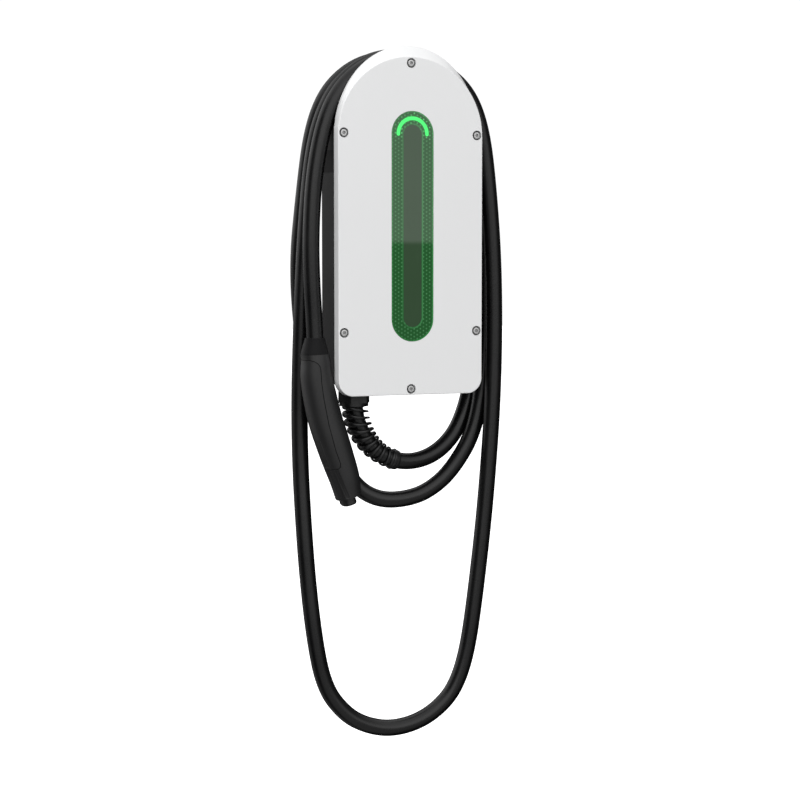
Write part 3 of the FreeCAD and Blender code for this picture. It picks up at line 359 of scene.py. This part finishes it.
# darker steel for the screw sockets: painted shade in the recess
socket_painted_shade = metal("socket_painted_shade", (0.40, 0.40, 0.40), 0.55)
washer_rubber = rubber("washer_rubber", (0.085, 0.085, 0.085), 0.6, 1200.0, 0.3)
steel = metal("screw_steel", (0.66, 0.66, 0.66), 0.42)
brass = metal("brass", (0.72, 0.53, 0.26), 0.28)
bracket = galvanised("bracket_steel")
board = circuit("board_green")
lamp_white = plastic("lamp_white", (0.85, 0.85, 0.76), 0.25, 900.0, 0.1, 0.04)
relay_black = plastic("relay_black", (0.035, 0.035, 0.04), 0.3, 1200.0, 0.2, 0.08)
part_grey = plastic("part_grey", (0.42, 0.44, 0.45), 0.45, 1200.0, 0.25, 0.06)
part_white = plastic("part_white", (0.8, 0.8, 0.77), 0.4, 1200.0, 0.2, 0.03)
module_silver = metal("module_silver", (0.72, 0.73, 0.75), 0.35, (70, 900, 900), 0.08)
cap_sleeve = plastic("capacitor_sleeve", (0.03, 0.04, 0.10), 0.3, 900.0, 0.1, 0.1)
wire_brown = plastic("wire_brown", (0.16, 0.07, 0.035), 0.4, 1500.0, 0.15, 0.08)
ribbon_grey = plastic("ribbon_grey", (0.5, 0.51, 0.53), 0.4, 1500.0, 0.15, 0.05)
diffuser = plastic("diffuser", (0.75, 0.8, 0.75), 0.5, 900.0, 0.1, 0.03)
mask_dark = plastic("mask_dark", (0.02, 0.055, 0.027), 0.4, 900.0, 0.1, 0.05)
clear = plastic("guard_clear", (0.80, 0.85, 0.87), 0.12, 700.0, 0.05, 0.01)
clear.b.inputs["Transmission Weight"].default_value = 0.85
clear.b.inputs["IOR"].default_value = 1.58

# cable jacket: satin extruded surface with faint drawing lines and talc marks
cab = Mat("cable_black", (0.005, 0.005, 0.0053), 0.28, 0.42)
cab_big = cab.noise(22.0, 4.0)
cab_fine = cab.noise(1500.0, 3.0, 0.6)
cab_mid = cab.noise(160.0, 4.0, 0.6)
cab.base(cab.mix(cab.rng(cab_big, 0.35, 0.65, 0, 1), (0.004, 0.004, 0.0043), (0.006, 0.006, 0.0063)))
cab.normal(cab.bump(cab.math("ADD", cab.math("MULTIPLY", cab_fine, 0.5), cab_mid), 0.16, 0.00016))
cab.roughness(cab.rng(cab.math("ADD", cab_big, cab_mid), 0.75, 1.25, 0.25, 0.33))

# indicator window: tinted glossy lens over a film of staggered dots with a
# plain dark field in the middle; dots close to the lit arc catch its light
WX, WT, WL = 0.0014, 0.0012, -0.1832
win = Mat("window_green", (0.012, 0.10, 0.022), 0.5, 0.0)
xyz = win.add("ShaderNodeSeparateXYZ")
win.link(win.coord.outputs["Object"], xyz.inputs[0])
X = win.math("SUBTRACT", xyz.outputs["X"], WX)
Z = xyz.outputs["Z"]


def stadium(m, x, z, top, low):
    """Distance from the upright line between two heights."""
    up = m.math("MAXIMUM", m.math("SUBTRACT", z, top), 0.0)
    dn = m.math("MAXIMUM", m.math("SUBTRACT", low, z), 0.0)
    dz = m.math("ADD", up, dn)
    return m.math("SQRT", m.math("ADD", m.math("MULTIPLY", x, x), m.math("MULTIPLY", dz, dz)))


inner_d = stadium(win, X, Z, 0.0004, -0.1815)
outer_d = stadium(win, X, Z, WT, WL)
field = win.rng(inner_d, 0.0094, 0.0099, 1.0, 0.0, True)
# lighter lines at the inner lip and the outer rim: painted highlights of light refracted at the lens edges
lip_highlight = win.rng(win.math("ABSOLUTE", win.math("SUBTRACT", inner_d, 0.0106)), 0.0003, 0.0011, 1.0, 0.0, True)
rim_highlight = win.rng(outer_d, 0.0207, 0.0219, 0.0, 1.0, True)
CX, CZ = 0.00335, 0.0039
u = win.math("DIVIDE", X, CX)
col = win.math("FLOOR", u)
odd = win.math("MULTIPLY", win.math("PINGPONG", col, 1.0), 0.5)
fu = win.math("SUBTRACT", win.math("SUBTRACT", u, col), 0.5)
v = win.math("ADD", win.math("DIVIDE", Z, CZ), odd)
fv = win.math("SUBTRACT", win.math("SUBTRACT", v, win.math("FLOOR", v)), 0.5)
du = win.math("MULTIPLY", fu, CX)
dv = win.math("MULTIPLY", fv, CZ)
dd = win.math("SQRT", win.math("ADD", win.math("MULTIPLY", du, du), win.math("MULTIPLY", dv, dv)))
dot = win.rng(dd, 0.00035, 0.00125, 1.0, 0.0, True)
uneven = win.noise(420.0, 2.0)
dot = win.math("MULTIPLY", dot, win.rng(uneven, 0.3, 0.7, 0.35, 1.0))
band = win.mix(dot, (0.001, 0.090, 0.010), (0.062, 0.260, 0.088))
# painted highlights of lip and rim grow stronger towards the right side
right_highlight_weight = win.rng(X, -0.004, 0.008, 0.45, 1.0, True)
band = win.mix(win.math("MULTIPLY", lip_highlight, right_highlight_weight), band, (0.034, 0.215, 0.058))
cloud = win.noise(30.0, 3.0)
inner_c = win.mix(cloud, (0.018, 0.056, 0.018), (0.024, 0.064, 0.024))
col_all = win.mix(field, band, inner_c)
col_all = win.mix(win.math("MULTIPLY", rim_highlight, right_highlight_weight), col_all, (0.036, 0.27, 0.066))
win.base(col_all)
# light scattered from the lit arc into the nearest dots
arc_r = win.math("SQRT", win.math("ADD", win.math("MULTIPLY", X, X), win.math("MULTIPLY", win.math("SUBTRACT", Z, WT), win.math("SUBTRACT", Z, WT))))
arc_top = win.math("ABSOLUTE", win.math("SUBTRACT", arc_r, 0.01535))
side_x = win.math("SUBTRACT", win.math("ABSOLUTE", X), 0.01535)
below = win.math("MINIMUM", win.math("SUBTRACT", Z, WT), 0.0)
arc_low = win.math("SQRT", win.math("ADD", win.math("MULTIPLY", side_x, side_x), win.math("MULTIPLY", below, below)))
is_low = win.math("LESS_THAN", Z, WT)
arc_d = win.math("ADD", win.math("MULTIPLY", arc_top, win.math("SUBTRACT", 1.0, is_low)), win.math("MULTIPLY", arc_low, is_low))
near = win.rng(arc_d, 0.0018, 0.0085, 1.0, 0.0, True)
outside = win.math("SUBTRACT", 1.0, field)
sparkle = win.math("MULTIPLY", win.math("MULTIPLY", dot, win.rng(uneven, 0.45, 0.62, 0.15, 1.0)), near)
glow = win.math("MULTIPLY", outside, win.math("ADD", win.math("MULTIPLY", sparkle, 0.62),
                win.math("MULTIPLY", win.rng(arc_d, 0.0015, 0.0055, 1.0, 0.0, True), 0.045)))
win.b.inputs["Emission Color"].default_value = (0.10, 1.0, 0.22, 1.0)
win.link(glow, win.b.inputs["Emission Strength"])
win.b.inputs["Coat Weight"].default_value = 1.0
win.b.inputs["Coat Roughness"].default_value = 0.004
win.b.inputs["Coat IOR"].default_value = 1.55

# lit light guide
led = Mat("light_green", (0.02, 0.16, 0.05), 0.35, 0.3)
lx = led.add("ShaderNodeSeparateXYZ")
led.link(led.coord.outputs["Object"], lx.inputs[0])
LX = led.math("SUBTRACT", lx.outputs["X"], WX)
LZ = led.math("SUBTRACT", lx.outputs["Z"], WT)
lr = led.math("SQRT", led.math("ADD", led.math("MULTIPLY", LX, LX), led.math("MULTIPLY", LZ, LZ)))
off = led.math("ABSOLUTE", led.math("SUBTRACT", lr, 0.01535))
soft = led.noise(900.0, 2.0)
core_glow = led.rng(off, 0.00125, 0.00205, 1.0, 0.38, True)
led.b.inputs["Emission Color"].default_value = (0.075, 1.0, 0.175, 1.0)
led.link(led.math("MULTIPLY", core_glow, led.rng(soft, 0.3, 0.7, 0.98, 1.04)), led.b.inputs["Emission Strength"])

BY_NODE = {
    "front_cover": cover_white, "cover_seal": seal_black, "cover_screws": steel,
    "screw_washers": gland_black,
    "threaded_inserts": brass, "indicator_window": win, "light_guide": led,
    "window_diffuser": diffuser, "window_mask": mask_dark, "indicator_board": board,
    "indicator_lamps": lamp_white, "indicator_board_screws": steel, "rear_housing": housing_black,
    "wall_bracket": bracket, "bracket_screws": steel, "supply_grommet": seal_black,
    "pressure_vent": gland_black, "board_standoffs": brass, "main_board": board,
    "board_screws": steel, "power_relays": relay_black, "residual_current_sensor": part_grey,
    "power_supply": part_white, "capacitors": cap_sleeve, "processor_module": module_silver,
    "board_sockets": part_white, "output_terminal_block": part_grey,
    "supply_terminal_block": part_grey, "earth_bar": brass, "touch_guard": clear,
    "inner_conductors": wire_brown, "ribbon_lead": ribbon_grey, "gland_body": gland_black,
    "gland_locknut": gland_black, "gland_seal": seal_black, "gland_dome_nut": gland_black,
    "charging_cable": cab, "bend_protector": guard_black, "connector_shell_front": shell_black,
    "connector_shell_rear": shell_black, "connector_grip": grip_black, "connector_screws": steel,
    "connector_boot": boot_black, "connector_seal": seal_black, "connector_nose": shell_black,
    "contact_carrier": part_grey, "connector_contacts": brass, "connector_leads": wire_brown,
}
for name, ob in NODES.items():
    m = BY_NODE.get(name, housing_black).m
    ob.data.materials.clear()
    ob.data.materials.append(m)


def give(ob, mat, body="root"):
    ob.data.materials.clear()
    ob.data.materials.append(mat.m)
    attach(ob, body)
    return ob


def mesh_object(name, bm, smooth_angle=35.0):
    me = bpy.data.meshes.new(name)
    bmesh.ops.recalc_face_normals(bm, faces=bm.faces)
    bm.to_mesh(me)
    bm.free()
    ob = bpy.data.objects.new(name, me)
    collection.objects.link(ob)
    for p in me.polygons:
        p.use_smooth = True
    me.set_sharp_from_angle(angle=math.radians(smooth_angle))
    return ob


# ------------------------------------------------ cable curve in place of the model's cable
give(cable, cab)
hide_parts("charging_cable")

# -------------------------------------------- spiral bend protector (coil)
def frame_at(s):
    p, d = on_line(s)
    right = Vector((1, 0, 0)) - d * d.x
    if right.length < 0.2:
        right = Vector((0, 0, 1)) - d * d.z
    front = Vector((0, -1, 0))
    front = (front - d * front.dot(d)).normalized()
    side = front.cross(d).normalized()
    return p, d, side, front


def ring_tube(bm, stations, around=28):
    """Skins closed rings of points one after another; caps both ends."""
    rings = []
    for pts in stations:
        rings.append([bm.verts.new(p) for p in pts])
    n = len(rings[0])
    for a, b in zip(rings, rings[1:]):
        for i in range(n):
            bm.faces.new((a[i], a[(i + 1) % n], b[(i + 1) % n], b[i]))
    bm.faces.new(rings[0][::-1])
    bm.faces.new(rings[-1])


S0 = 0.0186          # where the protector leaves the dome nut
S1 = 0.0940          # its end collar
TURNS, PER = 9.0, 56
LEAN = [(0.0, -11.0), (0.18, -14.0), (0.35, -11.5), (0.5, -4.0), (0.7, 6.0), (0.85, 13.0), (1.0, 16.0)]
R_OUT = [(0.0, 0.01365), (0.25, 0.01345), (0.42, 0.0129), (0.56, 0.0122), (0.70, 0.0115), (0.85, 0.0109), (1.0, 0.0105)]

HALF = [(0.0, 0.0010), (0.3, 0.0010), (0.5, 0.0011), (0.75, 0.0012), (1.0, 0.0012)]       # half thickness of a winding
SWELL = [(0.0, 0.0020), (0.3, 0.0025), (0.55, 0.0021), (0.8, 0.0013), (1.0, 0.0006)]      # added on the outer side of the bend


def table(t, rows):
    for (x0, y0), (x1, y1) in zip(rows, rows[1:]):
        if t <= x1:
            return y0 + (y1 - y0) * (t - x0) / (x1 - x0)
    return rows[-1][1]


bm = bmesh.new()
count = int(TURNS * PER)
stations = []
for i in range(count + 1):
    f = i / count
    s = 0.0201 + 0.0702 * f
    p, d, side, front = frame_at(s)
    ang = math.pi - 2 * math.pi * TURNS * f
    er = side * math.cos(ang) + front * math.sin(ang)
    lean = math.radians(table(f, LEAN))
    r_out = table(f, R_OUT)
    heavy = (0.5 - 0.5 * math.cos(ang - math.radians(10))) ** 1.4
    r_in = 0.0094 - 0.0005 * f
    wo = table(f, HALF) + table(f, SWELL) * heavy
    wi = 0.7 * wo
    tip = min(0.0003 + 0.0017 * heavy, 0.5 * (r_out - r_in))
    p = p - d * (math.cos(ang) * math.tan(lean) * (r_in + r_out) / 2)
    rm = (r_in + r_out) / 2
    prof = [(r_in, -wi * 0.7), (r_in + 0.0003, -wi), (rm, -(wi + wo) / 2), (r_out - tip, -wo), (r_out - tip * 0.3, -wo * 0.75), (r_out, -wo * 0.35),
            (r_out, wo * 0.35), (r_out - tip * 0.3, wo * 0.75), (r_out - tip, wo), (rm, (wi + wo) / 2), (r_in + 0.0003, wi), (r_in, wi * 0.7)]
    stations.append([p + er * r + d * w for r, w in prof])
ring_tube(bm, stations)
coil = mesh_object("bend_protector_coil", bm, 50)

# base collar and end collar of the protector, with two small ribs
def sleeve(name, profile, s_from, around=40, steps=None):
    """Revolved profile [(length offset, radius)] that follows the cable."""
    bm = bmesh.new()
    rings = []
    for off, r in profile:
        p, d, side, front = frame_at(s_from + off)
        rings.append([bm.verts.new(p + (side * math.cos(2 * math.pi * k / around) + front * math.sin(2 * math.pi * k / around)) * r) for k in range(around)])
    n = around
    m = len(rings)
    for j in range(m):
        a, b = rings[j], rings[(j + 1) % m]
        for i in range(n):
            bm.faces.new((a[i], a[(i + 1) % n], b[(i + 1) % n], b[i]))
    return mesh_object(name, bm, 40)


end_collar = sleeve("bend_protector_end", [
    (-0.0052, 0.0087), (-0.0052, 0.0098), (-0.0046, 0.0101), (-0.0034, 0.0101), (-0.0030, 0.0108), (-0.0024, 0.0110), (-0.0017, 0.0109),
    (-0.0012, 0.0100), (0.0000, 0.0099), (0.0004, 0.0103), (0.0024, 0.0101), (0.0034, 0.0098), (0.0040, 0.0093),
    (0.0041, 0.00865), (0.0, 0.0087)], S1)
base_collar = sleeve("bend_protector_base", [
    (-0.0004, 0.0088), (-0.0004, 0.0118), (0.0003, 0.0121), (0.0010, 0.0118), (0.0014, 0.0104), (0.0019, 0.0094), (0.0019, 0.0088)], S0)
for o in (coil, end_collar, base_collar):
    give(o, guard_black)
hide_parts("bend_protector")

# ------------------------------------------------------------ cover screws
SCREWS = [(-0.0715, 0.001), (0.0715, 0.001), (-0.0715, -0.196), (0.0715, -0.196), (0.0, 0.071), (0.0, -0.2535)]


def lathe(bm, profile, centre, axis_y=-1.0, around=48, lobes=None):
    """Profile of (radius, depth) turned around an axis along Y."""
    rings = []
    for r, y in profile:
        ring = []
        for k in range(around):
            a = 2 * math.pi * k / around
            rr = r
            ring.append(bm.verts.new((centre[0] + rr * math.cos(a), y, centre[1] + rr * math.sin(a))))
        rings.append(ring)
    for a, b in zip(rings, rings[1:]):
        for i in range(around):
            bm.faces.new((a[i], a[(i + 1) % around], b[(i + 1) % around], b[i]))
    return rings


def screw_head(bm, cx, cz, y_face, r_head, height, r_sock, depth, around=48):
    """Rounded head with a six-lobe socket."""
    def ring(y, fn):
        return [bm.verts.new((cx + fn(2 * math.pi * k / around) * math.cos(2 * math.pi * k / around), y,
                              cz + fn(2 * math.pi * k / around) * math.sin(2 * math.pi * k / around))) for k in range(around)]

    def lobe(s):
        return lambda a: r_sock * s * (1.0 + 0.13 * math.cos(6 * a))
    rows = [ring(y_face + height, lambda a: r_head),
            ring(y_face + 0.0006, lambda a: r_head),
            ring(y_face + 0.00025, lambda a: r_head * 0.975),
            ring(y_face + 0.00006, lambda a: r_head * 0.91),
            ring(y_face, lambda a: r_head * 0.80),
            ring(y_face + 0.00002, lobe(1.12)),
            ring(y_face + 0.00016, lobe(1.0)),
            ring(y_face + depth, lobe(0.94))]
    for j, (a, b) in enumerate(zip(rows, rows[1:])):
        for i in range(around):
            fc = bm.faces.new((a[i], a[(i + 1) % around], b[(i + 1) % around], b[i]))
            # socket faces take slot 1, the darker steel of painted shade
            fc.material_index = 1 if j >= 5 else 0
    bm.faces.new(rows[-1]).material_index = 1
    bm.faces.new(rows[0][::-1])


bm = bmesh.new()
for sx, sz in SCREWS:
    screw_head(bm, sx, sz, -0.0879, 0.00335, 0.0021, 0.00152, 0.0010)
    rows = lathe(bm, [(0.002, -0.0868), (0.002, -0.0774), (0.0017, -0.0771)], (sx, sz), around=24)
    bm.faces.new(rows[0][::-1])
    bm.faces.new(rows[-1])
heads = mesh_object("cover_screw_heads", bm, 28)
give(heads, steel)
# socket walls and floor take the darker steel: painted shade in the recess
heads.data.materials.append(socket_painted_shade.m)
for p in heads.data.polygons:
    q = min((math.hypot(p.center.x - sx, p.center.z - sz) for sx, sz in SCREWS))
    if q < 0.00168 and -0.08789 < p.center.y < -0.0862:
        p.material_index = 1
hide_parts("cover_screws")

# sealing washers: shallow domed rings under the heads
bm = bmesh.new()
for sx, sz in SCREWS:
    rows = lathe(bm, [(0.0021, -0.0858), (0.0036, -0.0858), (0.0042, -0.08575), (0.0046, -0.08555), (0.00475, -0.0853),
                      (0.00475, -0.0850), (0.0021, -0.0850)], (sx, sz), around=48)
    n = len(rows[0])
    for i in range(n):
        bm.faces.new((rows[-1][i], rows[-1][(i + 1) % n], rows[0][(i + 1) % n], rows[0][i]))
washers = mesh_object("cover_screw_washers", bm, 30)
give(washers, washer_rubber)
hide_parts("screw_washers")

# --------------------------------------------------------------- lights
def area(name, loc, target, size, power, color=(1, 1, 1), size_y=None):
    d = bpy.data.lights.new(name, "AREA")
    d.energy = power
    d.color = color
    d.shape = "RECTANGLE"
    d.size = size
    d.size_y = size_y or size
    o = bpy.data.objects.new(name, d)
    collection.objects.link(o)
    o.location = loc
    direction = Vector(target) - Vector(loc)
    o.rotation_euler = direction.to_track_quat("-Z", "Y").to_euler()
    return o


world = bpy.data.worlds.new("studio")
scene.world = world
world.use_nodes = True
wt = world.node_tree
wt.nodes.clear()
wo = wt.nodes.new("ShaderNodeOutputWorld")
bg = wt.nodes.new("ShaderNodeBackground")
white = wt.nodes.new("ShaderNodeBackground")
white.inputs["Color"].default_value = (1, 1, 1, 1)
white.inputs["Strength"].default_value = 1.05
mixs = wt.nodes.new("ShaderNodeMixShader")
lp = wt.nodes.new("ShaderNodeLightPath")
tc = wt.nodes.new("ShaderNodeTexCoord")
sep = wt.nodes.new("ShaderNodeSeparateXYZ")
wt.links.new(tc.outputs["Generated"], sep.inputs[0])


def wrng(v, a, b, c, d, smooth=True):
    n = wt.nodes.new("ShaderNodeMapRange")
    if smooth:
        n.interpolation_type = "SMOOTHSTEP"
    n.inputs["From Min"].default_value = a
    n.inputs["From Max"].default_value = b
    n.inputs["To Min"].default_value = c
    n.inputs["To Max"].default_value = d
    wt.links.new(v, n.inputs["Value"])
    return n.outputs["Result"]


def wmath(op, a, b):
    n = wt.nodes.new("ShaderNodeMath")
    n.operation = op
    for i, v in enumerate((a, b)):
        if isinstance(v, (int, float)):
            n.inputs[i].default_value = v
        else:
            wt.links.new(v, n.inputs[i])
    return n.outputs[0]


azimuth = wmath("ARCTAN2", sep.outputs["X"], wmath("MULTIPLY", sep.outputs["Y"], -1.0))
DEG = math.pi / 180.0
rise = wrng(azimuth, -60 * DEG, -34 * DEG, 0.0, 1.0)
fall = wrng(azimuth, 14 * DEG, 62 * DEG, 1.0, 0.0)
front_lobe = wmath("MULTIPLY", rise, fall)
left_a = wrng(azimuth, -176 * DEG, -160 * DEG, 0.0, 1.0)
left_b = wrng(azimuth, -112 * DEG, -88 * DEG, 1.0, 0.0)
left_lobe = wmath("MULTIPLY", wmath("MULTIPLY", left_a, left_b), 1.35)
around = wmath("ADD", wmath("MULTIPLY", front_lobe, 1.85), left_lobe)
around = wmath("ADD", around, 0.06)
overhead = wrng(sep.outputs["Z"], 0.45, 0.85, 0.0, 1.0)
sky = wmath("ADD", wmath("MULTIPLY", around, wmath("SUBTRACT", 1.0, overhead)), wmath("MULTIPLY", overhead, 1.25))
upper = wrng(sep.outputs["Z"], 0.0010, 0.0042, 0.0, 1.0)
low = wmath("MULTIPLY", around, 0.29)
level = wmath("ADD", wmath("MULTIPLY", sky, upper), wmath("MULTIPLY", low, wmath("SUBTRACT", 1.0, upper)))
wt.links.new(level, bg.inputs["Strength"])
wt.links.new(lp.outputs["Is Camera Ray"], mixs.inputs[0])
wt.links.new(bg.outputs[0], mixs.inputs[1])
wt.links.new(white.outputs[0], mixs.inputs[2])
wt.links.new(mixs.outputs[0], wo.inputs["Surface"])

key = area("key", (-2.1, -1.0, 1.75), (0, -0.08, -0.15), 1.1, 40.0)
key.visible_glossy = False
fill = area("fill", (0.3, -2.6, 0.1), (0, -0.08, -0.15), 1.6, 6.5)
fill.visible_glossy = False

# ----------------------------------------------------------------- floor
bm = bmesh.new()
bmesh.ops.create_grid(bm, x_segments=2, y_segments=2, size=12.0)
floor = mesh_object("floor", bm)
floor.location = (0, 0, -0.72)
fl = Mat("floor_pale", (0.93, 0.93, 0.93), 0.8, 0.2)
fl_n = fl.noise(3.0, 3.0)
fl.base(fl.mix(fl_n, (0.92, 0.92, 0.92), (0.94, 0.94, 0.94)))
fl.b.inputs["Emission Color"].default_value = (1, 1, 1, 1)
fl.b.inputs["Emission Strength"].default_value = 0.75
floor.data.materials.append(fl.m)
floor.visible_glossy = False
floor.visible_diffuse = False
floor.visible_transmission = False

bpy.context.view_layer.update()
